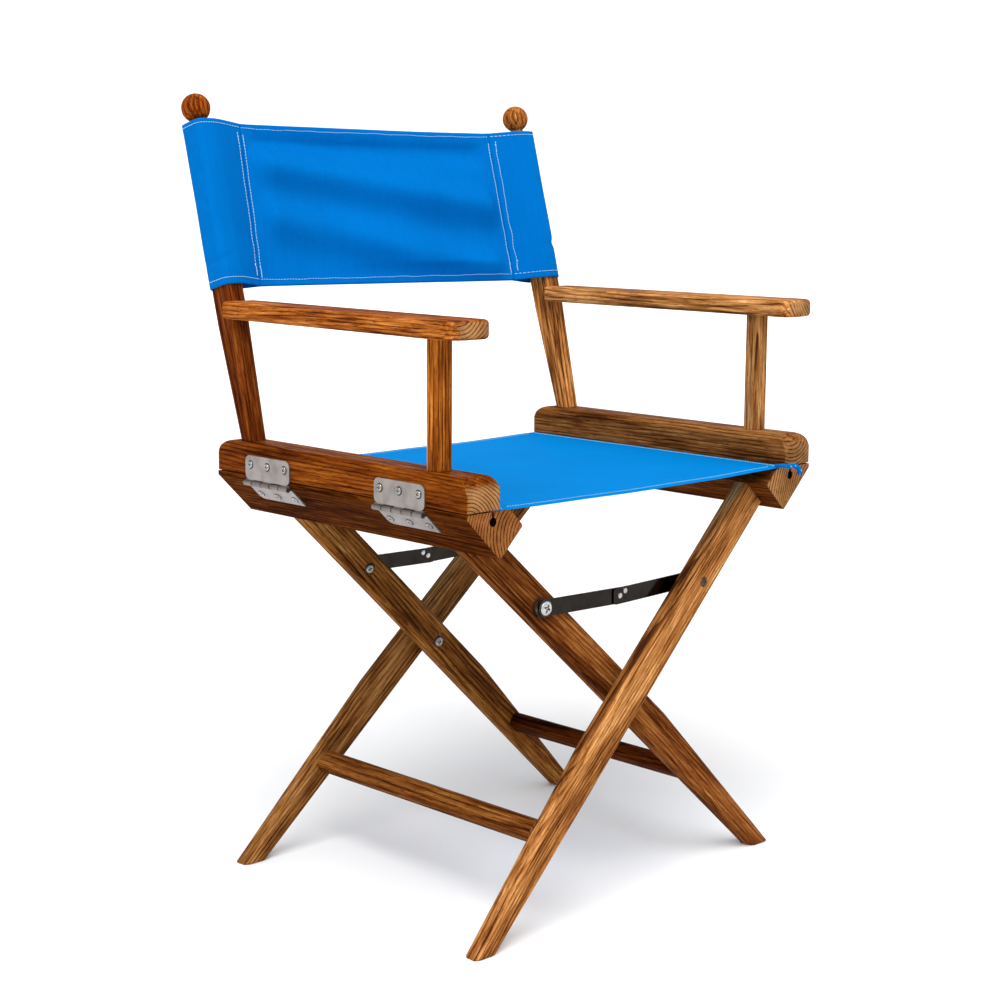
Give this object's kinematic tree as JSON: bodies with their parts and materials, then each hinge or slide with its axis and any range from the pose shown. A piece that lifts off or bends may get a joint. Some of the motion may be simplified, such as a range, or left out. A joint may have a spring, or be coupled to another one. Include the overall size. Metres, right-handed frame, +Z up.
{
  "type": "folding chair",
  "caption": "Folding director's chair: crossed teak legs, hinged arm frames, stainless folding stays, slung canvas seat and sleeved canvas back.",
  "frame": {"origin": "on the floor, under the middle of the chair's overall box", "axes": "+Z up, -Y the way the sitter faces, +X towards the sitter's left"},
  "size_m": [0.5642, 0.485, 0.862],
  "materials": {
    "teak": "oiled, satin",
    "canvas": "matt woven",
    "hem_cord": "matt woven",
    "hinges": "satin",
    "stays": "polished",
    "bolts": "semi-polished",
    "screws": "semi-polished"
  },
  "bodies": {
    "pivots": {"front_pivot_bolt": "bolts", "rear_pivot_bolt": "bolts", "front_pivot_spacer": "bolts", "rear_pivot_spacer": "bolts", "seat_sling": "canvas"},
    "inner_frame": {"left_seat_rail": "teak", "inner_front_leg": "teak", "inner_rear_leg": "teak", "inner_stretcher": "teak", "left_seat_rail_screws": "screws", "left_hinge_pins": "hinges", "left_hem_cord": "hem_cord", "front_left_stay_bolt": "bolts", "rear_left_stay_bolt": "bolts", "front_stay_spacer": "bolts", "rear_stay_spacer": "bolts", "left_front_lower_leaf": "hinges", "left_rear_lower_leaf": "hinges"},
    "outer_frame": {"right_seat_rail": "teak", "outer_front_leg": "teak", "outer_rear_leg": "teak", "outer_stretcher": "teak", "right_seat_rail_screws": "screws", "right_hinge_pins": "hinges", "right_hem_cord": "hem_cord", "front_right_stay_bolt": "bolts", "rear_right_stay_bolt": "bolts", "right_front_lower_leaf": "hinges", "right_rear_lower_leaf": "hinges"},
    "left_arm": {"left_arm_rail": "teak", "left_front_post": "teak", "left_back_post": "teak", "left_finial": "teak", "left_armrest": "teak", "left_arm_rail_screws": "screws", "left_front_upper_leaf": "hinges", "left_rear_upper_leaf": "hinges", "left_back_sleeve": "canvas", "back_panel": "canvas"},
    "right_arm": {"right_arm_rail": "teak", "right_front_post": "teak", "right_back_post": "teak", "right_finial": "teak", "right_armrest": "teak", "right_arm_rail_screws": "screws", "right_front_upper_leaf": "hinges", "right_rear_upper_leaf": "hinges", "right_back_sleeve": "canvas"},
    "front_left_link": {"front_left_stay": "stays", "front_left_stay_rivets": "bolts"},
    "front_right_link": {"front_right_stay": "stays", "front_right_stay_rivets": "bolts"},
    "rear_left_link": {"rear_left_stay": "stays", "rear_left_stay_rivets": "bolts"},
    "rear_right_link": {"rear_right_stay": "stays", "rear_right_stay_rivets": "bolts"}
  },
  "joints": [
    {"name": "fold", "type": "hinge", "parent": "pivots", "child": "inner_frame", "pos_m": [0, -0.0345, 0.229], "axis": [0, 1, 0], "range_deg": [0, 37.5], "deforming": ["seat_sling", "back_panel"]},
    {"name": "outer_frame_turn", "type": "hinge", "parent": "pivots", "child": "outer_frame", "pos_m": [0, -0.0345, 0.229], "axis": [0, 1, 0], "range_deg": [-37.5, 0]},
    {"name": "left_arm_turn", "type": "hinge", "parent": "inner_frame", "child": "left_arm", "pos_m": [-0.27, -0.0345, 0.4465], "axis": [0, 1, 0], "range_deg": [-37.5, 0]},
    {"name": "right_arm_turn", "type": "hinge", "parent": "outer_frame", "child": "right_arm", "pos_m": [0.27, -0.0345, 0.4465], "axis": [0, 1, 0], "range_deg": [0, 37.5]},
    {"name": "front_left_link_turn", "type": "hinge", "parent": "inner_frame", "child": "front_left_link", "pos_m": [-0.11285, -0.187, 0.33309], "axis": [0, 1, 0], "range_deg": [0, 37.79]},
    {"name": "front_right_link_turn", "type": "hinge", "parent": "outer_frame", "child": "front_right_link", "pos_m": [0.11285, -0.189, 0.33309], "axis": [0, 1, 0], "range_deg": [-37.79, 0]},
    {"name": "rear_left_link_turn", "type": "hinge", "parent": "inner_frame", "child": "rear_left_link", "pos_m": [-0.11285, 0.118, 0.33309], "axis": [0, 1, 0], "range_deg": [0, 37.79]},
    {"name": "rear_right_link_turn", "type": "hinge", "parent": "outer_frame", "child": "rear_right_link", "pos_m": [0.11285, 0.12, 0.33309], "axis": [0, 1, 0], "range_deg": [-37.79, 0]}
  ],
  "couplings": [
    {"joint": "outer_frame_turn", "follows": "fold", "ratio": -1},
    {"joint": "left_arm_turn", "follows": "fold", "ratio": -1},
    {"joint": "right_arm_turn", "follows": "fold", "ratio": 1},
    {"joint": "front_left_link_turn", "follows": "fold", "ratio": 1.0074},
    {"joint": "front_right_link_turn", "follows": "fold", "ratio": -1.0074},
    {"joint": "rear_left_link_turn", "follows": "fold", "ratio": 1.0074},
    {"joint": "rear_right_link_turn", "follows": "fold", "ratio": -1.0074}
  ]
}
